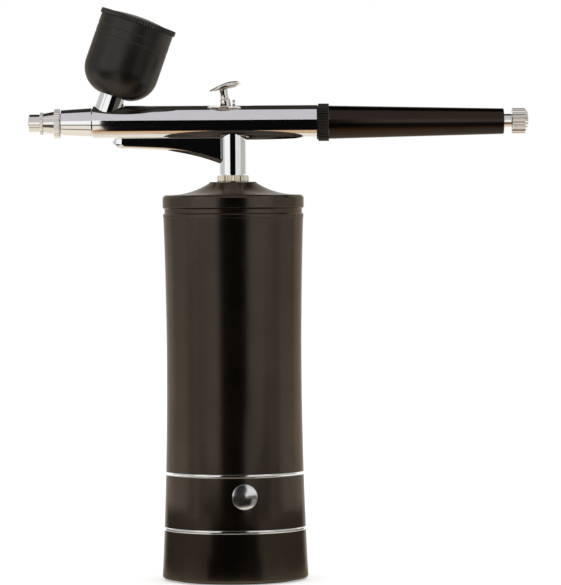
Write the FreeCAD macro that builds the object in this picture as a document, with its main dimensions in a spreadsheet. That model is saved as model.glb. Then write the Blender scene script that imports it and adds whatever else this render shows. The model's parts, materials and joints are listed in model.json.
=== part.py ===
"""Cordless hand-held airbrush compressor with its airbrush, as separate pieces.

The frame stands at the centre of the foot's underside: +Z up the casing, +X towards the airbrush
handle, -Y towards the power button. Lengths are millimetres and angles are degrees.
"""
import FreeCAD, Part
import math
import os
import Sketcher

SIZES = {
    # casing
    "waist_radius": 22.5, "waist_height": 73.0, "waist_curve": 1400.0, "sleeve_wall": 1.4,
    "foot_height": 0.6, "foot_radius": 20.5, "foot_recess": 0.7, "base_top": 16.8, "base_floor": 2.0,
    "base_edge": 0.8, "ring_height": 1.1, "ring_stand": 0.12, "ring_bulge": 1.2, "band_height": 17.3,
    "sleeve_height": 84.5, "lip_wall": 1.2, "lip_gap": 0.1, "lip_short": 1.2, "lip_long": 2.5,
    # top cap, from its lower edge up
    "cap_band": 1.1, "cap_groove": 2.3, "cap_groove_depth": 0.5, "cap_rim": 2.9, "cap_edge": 1.3,
    "cap_ceiling": 4.8, "cap_shoulder": 11.6, "cap_shoulder_curve": 25.0, "collar_radius": 7.85,
    "collar_height": 0.3,
    # chassis
    "plate_height": 7.0, "plate_thickness": 2.0, "cell_radius": 9.1, "cell_length": 50.0,
    "cell_offset": 2.0, "cell_gap": 0.2, "cradle_wall": 1.1, "cradle_height": 4.0,
    "tie_circle": 16.6, "tie_angle": 30.0, "tie_radius": 1.2, "tie_head": 2.25, "tie_head_height": 2.0,
    "screw_gap": 0.15, "spacer_radius": 2.1, "boss_radius": 3.3, "thread_depth": 6.0,
    # motor and pump
    "motor_radius": 12.2, "motor_length": 29.8, "can_wall": 1.0, "motor_shaft_radius": 1.0,
    "bearing_radius": 3.0, "shaft_fit": 0.05, "armature_radius": 8.5, "magnet_wall": 2.1,
    "cam_radius": 4.6, "cam_height": 5.2, "cam_gap": 1.8, "wobble_height": 9.6, "wobble_tilt": 7.0,
    "wobble_pin_radius": 0.75, "wobble_radius": 9.6, "wobble_thickness": 1.6,
    "pump_radius": 13.6, "pump_bore": 10.9, "pump_height": 16.0, "pump_floor": 1.4,
    "diaphragm_thickness": 1.2, "cup_circle": 6.2, "cup_outer": 3.3, "cup_depth": 3.8,
    "valve_plate_thickness": 2.0, "cover_thickness": 2.6, "nipple_radius": 1.4, "nipple_length": 2.6,
    "pump_screw_circle": 12.3, "pump_screw_radius": 0.9, "hose_wall": 1.1,
    # air outlet
    "fitting_radius": 5.2, "fitting_flange": 7.0, "fitting_flange_height": 2.0, "barb_length": 4.4,
    "spigot_radius": 3.95, "spigot_length": 8.4, "swivel_fit": 0.05, "lock_radius": 5.3,
    "lock_height": 2.1, "lock_gap": 0.1, "valve_gap": 0.3, "seal_section": 0.45,
    # control and charging
    "button_angle": 8.5, "button_height": 29.0, "button_radius": 4.2, "button_flange": 4.7,
    "button_gap": 0.15, "button_crown": 24.3, "button_dome": 0.9, "button_travel": 0.6, "board_thickness": 1.0,
    "board_face": 15.6, "board_width": 20.0, "board_top": 46.0, "switch_side": 6.0,
    "switch_body": 2.6, "switch_stem": 0.5, "socket_width": 8.94, "socket_height": 3.2,
    "socket_length": 7.3, "charge_board_height": 9.0,
    "shelf_half_width": 6.5, "shelf_near": 13.0, "shelf_far": 18.2,
    # airbrush, along X from the valve axis
    "tube_radius": 6.0, "tube_front": 46.5, "tube_rear": 28.5,
    "paint_bore": 1.2, "rear_bore": 4.4, "rear_bore_start": 8.0, "stub_length": 7.0, "stub_wall": 0.55,
    "slot_front": 7.0, "slot_rear": 8.0, "slot_width": 4.0, "slot_floor": 4.8,
    "needle_radius": 0.6, "needle_fit": 0.05, "needle_tip": 66.9, "needle_end": 70.0,
    "guide_radius": 2.2, "guide_nose": 1.9, "guide_end": 56.0, "guide_flange": 3.6, "lever_thickness": 0.9,
    "lever_width": 3.6, "lever_top": 7.9, "nut_radius": 3.2, "nut_end": 62.0,
    "case_radius": 4.3, "case_wall": 0.5, "case_end": 38.0, "spring_wire": 0.35,
    "collar_width": 3.6, "collar_outer": 6.25, "handle_front": 5.55, "handle_rear": 4.28,
    "handle_end": 90.4, "handle_gap": 0.2, "handle_bore": 3.6, "handle_bore_end": 69.5,
    "stop_radius": 2.5, "stop_seat": 82.0, "stop_tip": 78.5, "knob_start": 93.0, "knob_end": 98.4,
    "knob_radius": 4.3,
    # airbrush head
    "head_front": 57.2, "head_nose": 4.72, "head_rear": 5.4, "nozzle_cap_front": 63.1,
    "nozzle_cap_nose": 3.6, "nozzle_ring_radius": 4.9, "nozzle_ring_width": 2.0,
    "needle_cap_front": 68.0, "needle_cap_radius": 3.3, "needle_ring_radius": 3.8,
    # paint cup, along its own tilted axis from the airbrush axis
    "cup_place": 43.2, "cup_tilt": 19.5, "cup_radius": 12.5, "cup_wall": 0.9, "cup_bowl": 9.23,
    "neck_radius": 4.7, "neck_height": 9.7, "neck_bore": 3.6, "cup_side": 16.1,
    "cup_groove_depth": 0.15, "lid_radius": 13.0, "lid_rim": 1.6, "lid_dome": 1.0,
    "lid_dome_radius": 10.0, "lid_gap": 0.1,
    # valve and trigger
    "casing_radius": 4.7, "casing_bottom": 17.2, "casing_bore": 2.4, "valve_seat": 12.6,
    "cup_floor": 11.0, "plunger_travel": 2.0, "plunger_cup": 2.4, "pivot_drop": 7.5,
    "ball_radius": 1.0, "trigger_lean": 9.5, "leg_radius": 1.1, "fork_width": 3.4,
    "fork_thickness": 1.4, "pad_radius": 5.8, "pad_height": 18.6, "pad_thickness": 2.6, "pad_offset": 0.4, "trigger_neck": 1.5,
    "brace_half_width": 3.3, "brace_nose": 40.2, "brace_drop": 9.4, "brace_curve": 65.0,
}


class Size:
    """A number together with the sheet expression that it is worked out by."""

    def __init__(self, value, text):
        self.value = float(value)
        self.text = text

    def __add__(self, other):
        return joined(self, "+", other)

    def __radd__(self, other):
        return joined(other, "+", self)

    def __sub__(self, other):
        return joined(self, "-", other)

    def __rsub__(self, other):
        return joined(other, "-", self)

    def __mul__(self, other):
        return joined(self, "*", other)

    def __rmul__(self, other):
        return joined(other, "*", self)

    def __truediv__(self, other):
        return joined(self, "/", other)

    def __rtruediv__(self, other):
        return joined(other, "/", self)

    def __neg__(self):
        return joined(0, "-", self)


def as_size(number):
    """Return the number as a Size, leaving a Size as it is."""
    return number if isinstance(number, Size) else Size(number, f"({float(number)!r})")


def joined(left, sign, right):
    """Return the Size of a sum, difference, product or quotient."""
    left, right = as_size(left), as_size(right)
    results = {
        "+": lambda: left.value + right.value,
        "-": lambda: left.value - right.value,
        "*": lambda: left.value * right.value,
        "/": lambda: left.value / right.value,
    }
    return Size(results[sign](), f"({left.text} {sign} {right.text})")


def root(size):
    """Return the square root of a Size."""
    return Size(math.sqrt(size.value), f"sqrt({size.text})")


def sine(angle):
    """Return the sine of an angle in degrees."""
    return Size(math.sin(math.radians(as_size(angle).value)), f"sin({as_size(angle).text})")


def cosine(angle):
    """Return the cosine of an angle in degrees."""
    return Size(math.cos(math.radians(as_size(angle).value)), f"cos({as_size(angle).text})")


class Sheet:
    """The driving sizes, each one an attribute that returns a Size."""

    def __init__(self, document, sizes):
        self.page = document.addObject("Spreadsheet::Sheet", "Sizes")
        for row, (name, value) in enumerate(sizes.items(), start=1):
            self.page.set(f"A{row}", name)
            self.page.set(f"B{row}", str(value))
            self.page.setAlias(f"B{row}", name)
            setattr(self, name, Size(value, f"Sizes.{name}"))


class Bend:
    """An arc in an outline, to the left of the way travelled, or to the right if turned."""

    def __init__(self, radius, right=False):
        self.radius = as_size(radius)
        self.right = right


doc = FreeCAD.newDocument("airbrush_compressor")
S = Sheet(doc, SIZES)
doc.recompute()
PIECES = []
OVER = 40.0


def bind(target, path, size):
    """Set a property of an object to a Size, or to a plain number."""
    size = as_size(size)
    if "Sizes." in size.text or "." in path:
        target.setExpression(path, size.text)
    else:
        setattr(target, path, size.value)


def put(target, x=0, y=0, z=0, axis=None, angle=0):
    """Place an object, turned about an axis through its own origin."""
    if axis:
        target.Placement = FreeCAD.Placement(
            FreeCAD.Vector(0, 0, 0), FreeCAD.Rotation(FreeCAD.Vector(*axis), as_size(angle).value))
        if "Sizes." in as_size(angle).text:
            target.setExpression("Placement.Rotation.Angle", as_size(angle).text)
    for name, value in (("x", x), ("y", y), ("z", z)):
        bind(target, f"Placement.Base.{name}", value)
    return target


def piece(target):
    """List a finished sub-part for writing."""
    PIECES.append(target)
    return target


def body(label):
    """Start a PartDesign body."""
    made = doc.addObject("PartDesign::Body", label)
    made.Label = label
    return made


def sketch_on(owner, plane, offset=0, tilt=None, shift=None):
    """Start a sketch on one of the body's own origin planes."""
    sketch = owner.newObject("Sketcher::SketchObject", f"{owner.Name}_sketch")
    base = next(item for item in owner.Origin.OriginFeatures if item.Role == plane)
    sketch.AttachmentSupport = [(base, "")]
    sketch.MapMode = "FlatFace"
    if tilt:
        sketch.AttachmentOffset = FreeCAD.Placement(
            FreeCAD.Vector(0, 0, 0), FreeCAD.Rotation(FreeCAD.Vector(0, 1, 0), tilt.value))
        sketch.setExpression("AttachmentOffset.Rotation.Angle", tilt.text)
    if shift:
        bind(sketch, "AttachmentOffset.Base.x", shift)
    bind(sketch, "AttachmentOffset.Base.z", offset)
    return sketch


def constrain(sketch, kind, *items):
    """Add a constraint whose last item is its Size, and tie it to the sheet."""
    size = as_size(items[-1])
    index = sketch.addConstraint(Sketcher.Constraint(kind, *items[:-1], size.value))
    if "Sizes." in size.text:
        sketch.setExpression(f"Constraints[{index}]", size.text)


def fix_point(sketch, edge, end, x, y):
    """Hold one point of an edge at its distances from the sketch's origin."""
    for axis, kind, value in ((-2, "DistanceX", x), (-1, "DistanceY", y)):
        if as_size(value).text == "(0.0)":
            sketch.addConstraint(Sketcher.Constraint("PointOnObject", edge, end, axis))
        else:
            constrain(sketch, kind, -1, 1, edge, end, value)


def arc_between(start, end, bend):
    """Return an arc of the bend's radius between two points, the shorter way round."""
    dx, dy = end[0] - start[0], end[1] - start[1]
    chord = math.hypot(dx, dy)
    radius = bend.radius.value
    rise = math.sqrt(max(radius * radius - chord * chord / 4, 0))
    side = -1 if bend.right else 1
    centre = ((start[0] + end[0]) / 2 - side * rise * dy / chord,
              (start[1] + end[1]) / 2 + side * rise * dx / chord)
    first = math.atan2(start[1] - centre[1], start[0] - centre[0])
    last = math.atan2(end[1] - centre[1], end[0] - centre[0])
    circle = Part.Circle(FreeCAD.Vector(*centre, 0), FreeCAD.Vector(0, 0, 1), radius)
    return Part.ArcOfCircle(circle, *((last, first) if bend.right else (first, last)))


def outline(sketch, items):
    """Draw a closed outline of points, with a Bend between two points that an arc joins."""
    points = [item for item in items if not isinstance(item, Bend)]
    bends = {}
    for place, item in enumerate(items):
        if isinstance(item, Bend):
            bends[len([one for one in items[:place] if not isinstance(one, Bend)]) - 1] = item
    numbers = [(as_size(x).value, as_size(y).value) for x, y in points]
    ends = []
    for place, start in enumerate(numbers):
        end = numbers[(place + 1) % len(numbers)]
        bend = bends.get(place)
        if bend:
            edge = sketch.addGeometry(arc_between(start, end, bend), False)
            constrain(sketch, "Radius", edge, bend.radius)
        else:
            line = Part.LineSegment(FreeCAD.Vector(*start, 0), FreeCAD.Vector(*end, 0))
            edge = sketch.addGeometry(line, False)
        ends.append((edge, 2, 1) if bend and bend.right else (edge, 1, 2))
    for place, (edge, start, _) in enumerate(ends):
        before, _, finish = ends[place - 1]
        sketch.addConstraint(Sketcher.Constraint("Coincident", before, finish, edge, start))
        fix_point(sketch, edge, start, *points[place])
    return sketch


def circles(sketch, centres, radius):
    """Draw equal circles."""
    for x, y in centres:
        middle = FreeCAD.Vector(as_size(x).value, as_size(y).value, 0)
        circle = Part.Circle(middle, FreeCAD.Vector(0, 0, 1), as_size(radius).value)
        edge = sketch.addGeometry(circle, False)
        constrain(sketch, "Radius", edge, radius)
        fix_point(sketch, edge, 3, x, y)
    return sketch


def round_end(half_width):
    """Return the bend that rounds off a slot's end, a hair wider than a half circle."""
    return Bend(half_width * 1.0005)


def rectangle(sketch, left, low, right, high):
    """Draw a rectangle."""
    return outline(sketch, [(left, low), (right, low), (right, high), (left, high)])


def revolve(owner, sketch, axis):
    """Turn a sketch into a solid about one of its own axes."""
    made = owner.newObject("PartDesign::Revolution", f"{owner.Name}_turned")
    made.Profile = sketch
    made.ReferenceAxis = (sketch, [axis])
    made.Angle = 360
    return made


def turned(label, items, axis="V_Axis", plane="XZ_Plane"):
    """Make a body of revolution: points are (radius, height), or (place, radius) about H_Axis."""
    made = body(label)
    revolve(made, outline(sketch_on(made, plane), items), axis)
    return made


def pad(owner, sketch, length, back=False, both=False):
    """Raise a sketch along its normal."""
    made = owner.newObject("PartDesign::Pad", f"{owner.Name}_pad")
    made.Profile = sketch
    made.SideType = "Symmetric" if both else "One side"
    made.Reversed = back
    bind(made, "Length", length)
    return made


def pocket(owner, sketch, length, along=False, both=False):
    """Cut a sketch into the body against its normal, or along it."""
    doc.recompute()
    before = owner.Shape.Volume
    made = owner.newObject("PartDesign::Pocket", f"{owner.Name}_pocket")
    made.Profile = sketch
    made.SideType = "Symmetric" if both else "One side"
    made.Reversed = along
    bind(made, "Length", length)
    doc.recompute()
    if owner.Shape.Volume > before - 1e-4:
        raise RuntimeError(f"a pocket of {owner.Label} removes nothing")
    return made


def around(owner, feature, sketch, count):
    """Repeat a feature evenly round the normal through its sketch's origin."""
    made = owner.newObject("PartDesign::PolarPattern", f"{owner.Name}_pattern")
    made.Originals = [feature]
    made.Axis = (sketch, ["N_Axis"])
    made.Angle = 360
    made.Occurrences = count
    owner.Tip = made
    return made


def soften(owner, edges, radius):
    """Round edges of the body's present shape."""
    base = owner.Tip
    names = [f"Edge{place}" for place, edge in enumerate(base.Shape.Edges, start=1)
             if any(edge.isSame(one) or edge.CenterOfMass.isEqual(one.CenterOfMass, 1e-5) for one in edges)]
    made = owner.newObject("PartDesign::Fillet", f"{owner.Name}_round")
    made.Base = (base, names)
    bind(made, "Radius", radius)
    doc.recompute()


def knurl(owner, radius, start, width, count, depth, plane="XY_Plane"):
    """Cut straight flutes along an edge of a turned piece."""
    sketch = sketch_on(owner, plane, start)
    half = radius * (math.pi / count * 0.72)
    outline(sketch, [(radius - depth, 0), (radius + depth, half * 2), (radius + depth, -half * 2)])
    around(owner, pocket(owner, sketch, width, along=True), sketch, count)


def helix(label, mean, wire, start, height, turns):
    """Make a coil spring about Z."""
    made = body(label)
    sketch = circles(sketch_on(made, "XZ_Plane"), [(mean, start + wire)], wire)
    coil = made.newObject("PartDesign::AdditiveHelix", f"{label}_coil")
    coil.Profile = sketch
    coil.ReferenceAxis = (sketch, ["V_Axis"])
    coil.Mode = "pitch-height-angle"
    bind(coil, "Height", height - 2 * wire)
    bind(coil, "Pitch", (height - 2 * wire) / turns)
    return made


def cylinder(label, radius, height):
    """Make a plain cylinder on Z."""
    made = doc.addObject("Part::Cylinder", label)
    bind(made, "Radius", radius)
    bind(made, "Height", height)
    return made


def ring_seal(label, mean, section):
    """Make an O-ring about Z."""
    made = doc.addObject("Part::Torus", label)
    bind(made, "Radius1", mean)
    bind(made, "Radius2", section)
    return made


def cut(label, base, tool):
    """Cut one object with another."""
    made = doc.addObject("Part::Cut", label)
    made.Base = base
    made.Tool = tool
    return made


def waist(height):
    """Return the casing's outer radius at a height: one long arc, narrowest at the waist."""
    rise = height - S.waist_height
    return S.waist_radius + S.waist_curve - root(S.waist_curve * S.waist_curve - rise * rise)


# Levels up the casing, and the radii that its pieces share.
foot_ceiling = S.foot_height + S.foot_recess
floor_top = foot_ceiling + S.base_floor
band_bottom = S.base_top + S.ring_height
band_top = band_bottom + S.band_height
sleeve_bottom = band_top + S.ring_height
sleeve_top = sleeve_bottom + S.sleeve_height
ceiling = sleeve_top + S.cap_ceiling
cap_top = sleeve_top + S.cap_shoulder + S.collar_height
shell_bore = S.waist_radius - S.sleeve_wall
lip_outer = shell_bore - S.lip_gap
lip_inner = lip_outer - S.lip_wall
plate_top = S.plate_height + S.plate_thickness
motor_plate_bottom = plate_top + S.cell_gap + S.cell_length + 1
motor_bottom = motor_plate_bottom + S.plate_thickness
pump_bottom = motor_bottom + S.motor_length
pump_top = pump_bottom + S.pump_height
cover_bottom = pump_top + S.diaphragm_thickness + S.valve_plate_thickness
cover_top = cover_bottom + S.cover_thickness
frame_top = sleeve_top - S.lip_long
tie_hole = S.tie_radius + S.screw_gap
tie_points = [(sx * S.tie_circle * cosine(S.tie_angle), sy * S.tie_circle * sine(S.tie_angle))
              for sx in (1, -1) for sy in (1, -1)]


def make_foot_pad():
    """Rubber disc seated under the base."""
    pad_body = cylinder("foot_pad", S.foot_radius, foot_ceiling)
    piece(pad_body)


def make_base_cup():
    """Bottom cup, with screw bosses, the shelf for the charging board and the socket's hole."""
    edge_radius = waist(S.foot_height + S.base_edge)
    cup = turned("base_cup", [
        (0, foot_ceiling), (S.foot_radius + S.lip_gap, foot_ceiling),
        (S.foot_radius + S.lip_gap, S.foot_height), (edge_radius - S.base_edge, S.foot_height),
        Bend(S.base_edge), (edge_radius, S.foot_height + S.base_edge),
        Bend(S.waist_curve, right=True), (waist(S.base_top), S.base_top),
        (shell_bore, S.base_top), (shell_bore, floor_top), (0, floor_top)])
    buried = S.base_floor / 2
    bosses = circles(sketch_on(cup, "XY_Plane", floor_top - buried), tie_points, S.boss_radius)
    pad(cup, bosses, S.plate_height - floor_top + buried)
    shelf = rectangle(sketch_on(cup, "XY_Plane", floor_top - buried), -S.shelf_half_width, S.shelf_near,
                      S.shelf_half_width, S.shelf_far)
    pad(cup, shelf, S.charge_board_height - floor_top + buried)
    heads = circles(sketch_on(cup, "XY_Plane", foot_ceiling), tie_points, S.tie_head + S.screw_gap)
    pocket(cup, heads, S.tie_head_height + 0.6, along=True)
    holes = circles(sketch_on(cup, "XY_Plane", foot_ceiling), tie_points, tie_hole)
    pocket(cup, holes, S.plate_height, along=True)
    half_width = S.socket_width / 2 + 0.5
    half_height = S.socket_height / 2 + 0.5
    middle = S.charge_board_height + S.board_thickness + S.socket_height / 2
    mouth = outline(sketch_on(cup, "XZ_Plane", -18.6), [
        (half_height - half_width, middle - half_height), (half_width - half_height, middle - half_height),
        round_end(half_height), (half_width - half_height, middle + half_height),
        (half_height - half_width, middle + half_height), round_end(half_height)])
    pocket(cup, mouth, OVER)
    piece(cup)


def make_trim_ring(label, low):
    """Bright ring between two shells, with a lip inside each."""
    high = low + S.ring_height
    ring = turned(label, [
        (lip_inner, low - S.lip_short), (lip_outer, low - S.lip_short), (lip_outer, low),
        (waist(low) + S.ring_stand, low), Bend(S.ring_bulge), (waist(high) + S.ring_stand, high),
        (lip_outer, high), (lip_outer, high + S.lip_long), (lip_inner, high + S.lip_long)])
    piece(ring)


def make_shell(label, low, high):
    """One stretch of the casing's flared wall."""
    return turned(label, [
        (shell_bore, low), (waist(low), low), Bend(S.waist_curve, right=True),
        (waist(high), high), (shell_bore, high)])


def make_button_band():
    """Shell that holds the power button."""
    band = make_shell("button_band", band_bottom, band_top)
    hole = circles(sketch_on(band, "XZ_Plane"), [(0, S.button_height)], S.button_radius + S.button_gap)
    pocket(band, hole, OVER, along=True)
    piece(put(band, axis=(0, 0, 1), angle=S.button_angle))


def make_top_cap():
    """Top cap: grooved rim, hollow shoulder and flat collar, with tapped bosses inside."""
    rim = waist(sleeve_top) + S.ring_stand
    groove = rim - S.cap_groove_depth
    band = sleeve_top + S.cap_band
    upper = band + S.cap_groove
    edge = upper + S.cap_rim
    neck = sleeve_top + S.cap_shoulder
    cap = turned("top_cap", [
        (lip_inner, frame_top), (lip_outer, frame_top), (lip_outer, sleeve_top), (rim, sleeve_top),
        (rim, band), (groove, band + S.cap_groove_depth), (groove, upper - S.cap_groove_depth),
        (rim + S.ring_stand, upper), (rim + S.ring_stand, edge), Bend(S.cap_edge),
        (rim + S.ring_stand - S.cap_edge, edge + S.cap_edge), Bend(S.cap_shoulder_curve, right=True),
        (S.collar_radius, neck), (S.collar_radius, cap_top), (S.fitting_radius + S.shaft_fit, cap_top),
        (S.fitting_radius + S.shaft_fit, ceiling), (lip_inner, ceiling)])
    bosses = circles(sketch_on(cap, "XY_Plane", frame_top), tie_points, S.boss_radius)
    pad(cap, bosses, ceiling - frame_top + 0.5)
    holes = circles(sketch_on(cap, "XY_Plane", frame_top), tie_points, S.tie_radius + S.shaft_fit)
    pocket(cap, holes, S.thread_depth + S.lip_long, along=True)
    piece(cap)


def make_tie_screws():
    """Four long screws that clamp the stack, with sockets in their heads."""
    screws = body("tie_screws")
    head_low = foot_ceiling + 0.6
    pad(screws, circles(sketch_on(screws, "XY_Plane", head_low), tie_points, S.tie_head), S.tie_head_height)
    shanks = circles(sketch_on(screws, "XY_Plane", head_low + S.tie_head_height / 2), tie_points, S.tie_radius)
    pad(screws, shanks, frame_top + S.lip_long + S.thread_depth - 0.5 - head_low - S.tie_head_height / 2)
    keys = circles(sketch_on(screws, "XY_Plane", head_low), tie_points, S.tie_radius)
    pocket(screws, keys, S.tie_head_height / 2.5, along=True)
    piece(screws)


def make_spacer_tubes():
    """Tubes on the screws: a short stack below the motor plate and one above it."""
    tubes = body("spacer_tubes")
    for low, high in ((plate_top, motor_plate_bottom), (motor_bottom, frame_top)):
        sketch = circles(sketch_on(tubes, "XY_Plane", low), tie_points, S.spacer_radius)
        pad(tubes, circles(sketch, tie_points, tie_hole), high - low)
    piece(tubes)


def make_cradle(owner, low):
    """Ring on a plate that locates the battery cell."""
    sketch = circles(sketch_on(owner, "XY_Plane", low), [(0, S.cell_offset)],
                     S.cell_radius + S.cell_gap + S.cradle_wall)
    circles(sketch, [(0, S.cell_offset)], S.cell_radius + S.cell_gap)
    pad(owner, sketch, S.cradle_height)


def turned_point(x, y):
    """Return a point of the button's own frame, in the casing's frame."""
    return (x * cosine(S.button_angle) - y * sine(S.button_angle),
            x * sine(S.button_angle) + y * cosine(S.button_angle))


def make_battery_plate():
    """Lower chassis plate, with the cell's cradle, the board's slot and the shelf's notch."""
    plate = body("battery_plate")
    pad(plate, circles(sketch_on(plate, "XY_Plane", S.plate_height), [(0, 0)], lip_inner - 0.3),
        S.plate_thickness)
    make_cradle(plate, plate_top)
    holes = circles(sketch_on(plate, "XY_Plane", S.plate_height), tie_points, tie_hole)
    pocket(plate, holes, S.plate_thickness, along=True)
    notch = rectangle(sketch_on(plate, "XY_Plane", S.plate_height), -S.shelf_half_width - 0.7,
                      S.shelf_near - 0.2, S.shelf_half_width + 0.7, 25.0)
    pocket(plate, notch, S.plate_thickness, along=True)
    left = -S.board_width / 2 - 0.1
    near = -S.board_face - 0.1
    far = -S.board_face + S.board_thickness + 0.1
    slot = outline(sketch_on(plate, "XY_Plane", plate_top - 1), [
        turned_point(left, near), turned_point(-left, near), turned_point(-left, far), turned_point(left, far)])
    pocket(plate, slot, 1, along=True)
    piece(plate)


def make_motor_plate():
    """Upper chassis plate between the cell and the motor."""
    plate = body("motor_plate")
    disc = circles(sketch_on(plate, "XY_Plane", motor_plate_bottom), [(0, 0)], shell_bore - 0.4)
    pad(plate, disc, S.plate_thickness)
    make_cradle(plate, motor_plate_bottom - S.cradle_height)
    holes = circles(sketch_on(plate, "XY_Plane", motor_plate_bottom), tie_points, tie_hole)
    circles(holes, [(0, 0)], S.bearing_radius + 2)
    pocket(plate, holes, S.plate_thickness, along=True)
    piece(plate)


def make_battery_cell():
    """Standard lithium cell with its raised terminal."""
    low = plate_top + S.cell_gap
    high = low + S.cell_length
    cell = turned("battery_cell", [
        (0, low), (S.cell_radius - 0.4, low), Bend(0.4), (S.cell_radius, low + 0.4),
        (S.cell_radius, high - 1.2), Bend(0.4), (S.cell_radius - 0.4, high - 0.8),
        (2.9, high - 0.8), (2.9, high), (0, high)])
    piece(put(cell, y=S.cell_offset))


def make_motor():
    """Brushed motor: can, magnets, end bell, shaft and three-slot armature."""
    top = motor_bottom + S.motor_length
    inner = S.motor_radius - S.can_wall
    bore = S.motor_shaft_radius + S.shaft_fit
    can = turned("motor_can", [
        (S.motor_radius, motor_bottom), (S.motor_radius, top), (S.bearing_radius, top),
        (S.bearing_radius, top + 1.2), (bore, top + 1.2), (bore, top - 2.5),
        (S.bearing_radius, top - 2.5), (S.bearing_radius, top - S.can_wall), (inner, top - S.can_wall),
        (inner, motor_bottom)])
    piece(can)
    bell_top = motor_bottom + 3
    bell = turned("motor_end_bell", [
        (0, motor_bottom - 1.3), (S.bearing_radius, motor_bottom - 1.3), (S.bearing_radius, motor_bottom),
        (inner, motor_bottom), (inner, bell_top), (bore, bell_top), (bore, motor_bottom - 0.6),
        (0, motor_bottom - 0.6)])
    piece(bell)
    low = bell_top + 1.3
    high = top - 3.5
    magnets = turned("motor_magnets", [
        (inner, low), (inner, high), (inner - S.magnet_wall, high), (inner - S.magnet_wall, low)])
    gap = rectangle(sketch_on(magnets, "XY_Plane", low), -S.motor_radius, -3.2, S.motor_radius, 3.2)
    pocket(magnets, gap, high - low, along=True)
    piece(magnets)
    shaft_low = motor_bottom - 0.4
    shaft_high = pump_bottom + S.cam_gap + S.cam_height / 2
    shaft = cylinder("motor_shaft", S.motor_shaft_radius, shaft_high - shaft_low)
    piece(put(shaft, z=shaft_low))
    rotor = turned("motor_rotor", [
        (S.motor_shaft_radius, bell_top + 0.4), (2.8, bell_top + 0.4), (2.8, low + 1),
        (S.armature_radius, low + 1), (S.armature_radius, high - 1), (S.motor_shaft_radius, high - 1)])
    sketch = rectangle(sketch_on(rotor, "XY_Plane", low + 1), 4.0, -0.9, OVER, 0.9)
    around(rotor, pocket(rotor, sketch, OVER, along=True), sketch, 3)
    piece(rotor)


def make_pump():
    """Wobble-plate diaphragm pump on top of the motor."""
    bolts = [(S.pump_screw_circle * cosine(a), S.pump_screw_circle * sine(a)) for a in (0, 120, 240)]
    cells = [(S.cup_circle * cosine(a), S.cup_circle * sine(a)) for a in (60, 180, 300)]
    bolt_hole = S.pump_screw_radius + S.shaft_fit
    housing = turned("pump_body", [
        (S.bearing_radius + 0.3, pump_bottom), (S.pump_radius, pump_bottom), (S.pump_radius, pump_top),
        (S.pump_bore, pump_top), (S.pump_bore, pump_bottom + S.pump_floor),
        (S.bearing_radius + 0.3, pump_bottom + S.pump_floor)])
    pocket(housing, circles(sketch_on(housing, "XY_Plane", pump_top), bolts, bolt_hole), 10)
    piece(housing)

    cam_low = pump_bottom + S.cam_gap
    cam_high = cam_low + S.cam_height
    bore_top = cam_low + S.cam_height / 2 + 0.1
    centre = pump_bottom + S.wobble_height
    cam = turned("cam_blank", [
        (0, bore_top), (S.motor_shaft_radius, bore_top), (S.motor_shaft_radius, cam_low),
        (S.cam_radius, cam_low), (S.cam_radius, cam_high), (0, cam_high)])
    drill = put(cylinder("cam_drill", S.wobble_pin_radius, 10), x=-5 * sine(S.wobble_tilt),
                z=centre - 5 * cosine(S.wobble_tilt), axis=(0, 1, 0), angle=S.wobble_tilt)
    piece(cut("eccentric_cam", cam, drill))
    pin = turned("wobble_pin", [
        (0, -4.9), (S.wobble_pin_radius, -4.9), (S.wobble_pin_radius, 1.2), (0, 1.2)])
    piece(put(pin, z=centre, axis=(0, 1, 0), angle=S.wobble_tilt))
    half = S.wobble_thickness / 2
    hole = S.wobble_pin_radius + S.shaft_fit
    plate = turned("wobble_plate", [
        (hole, -2), (2.4, -2), (2.4, -half), (S.wobble_radius, -half), (S.wobble_radius, half),
        (hole, half)])
    gap = circles(sketch_on(plate, "XY_Plane", -half), [(S.wobble_radius + 0.5, 0)], 4.2)
    around(plate, pocket(plate, gap, S.wobble_thickness, along=True), gap, 3)
    piece(put(plate, z=centre, axis=(0, 1, 0), angle=S.wobble_tilt))

    sheet_top = pump_top + S.diaphragm_thickness
    rubber = body("pump_diaphragm")
    pad(rubber, circles(sketch_on(rubber, "XY_Plane", pump_top), [(0, 0)], S.pump_radius),
        S.diaphragm_thickness)
    pad(rubber, circles(sketch_on(rubber, "XY_Plane", pump_top), cells, S.cup_outer), S.cup_depth, back=True)
    pocket(rubber, circles(sketch_on(rubber, "XY_Plane", sheet_top), cells, S.cup_outer - 0.6),
           S.diaphragm_thickness + S.cup_depth - 0.7)
    pocket(rubber, circles(sketch_on(rubber, "XY_Plane", sheet_top), bolts, bolt_hole), S.diaphragm_thickness)
    piece(rubber)

    valves = body("pump_valve_plate")
    disc = circles(sketch_on(valves, "XY_Plane", sheet_top), [(0, 0)], S.pump_radius)
    pad(valves, circles(circles(disc, bolts, bolt_hole), cells, 1.0), S.valve_plate_thickness)
    piece(valves)

    cover = turned("pump_cover", [
        (S.nipple_radius / 2, cover_bottom + 1.2), (10, cover_bottom + 1.2), (10, cover_bottom),
        (S.pump_radius, cover_bottom), (S.pump_radius, cover_top), (S.nipple_radius, cover_top),
        (S.nipple_radius, cover_top + S.nipple_length), (S.nipple_radius / 2, cover_top + S.nipple_length)])
    pocket(cover, circles(sketch_on(cover, "XY_Plane", cover_top), bolts, bolt_hole), S.cover_thickness)
    piece(cover)

    screws = body("pump_screws")
    pad(screws, circles(sketch_on(screws, "XY_Plane", cover_top), bolts, S.pump_screw_radius * 2), 1.3)
    shanks = circles(sketch_on(screws, "XY_Plane", cover_top), bolts, S.pump_screw_radius)
    pad(screws, shanks, cover_top - pump_top + 9, back=True)
    piece(screws)


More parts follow.
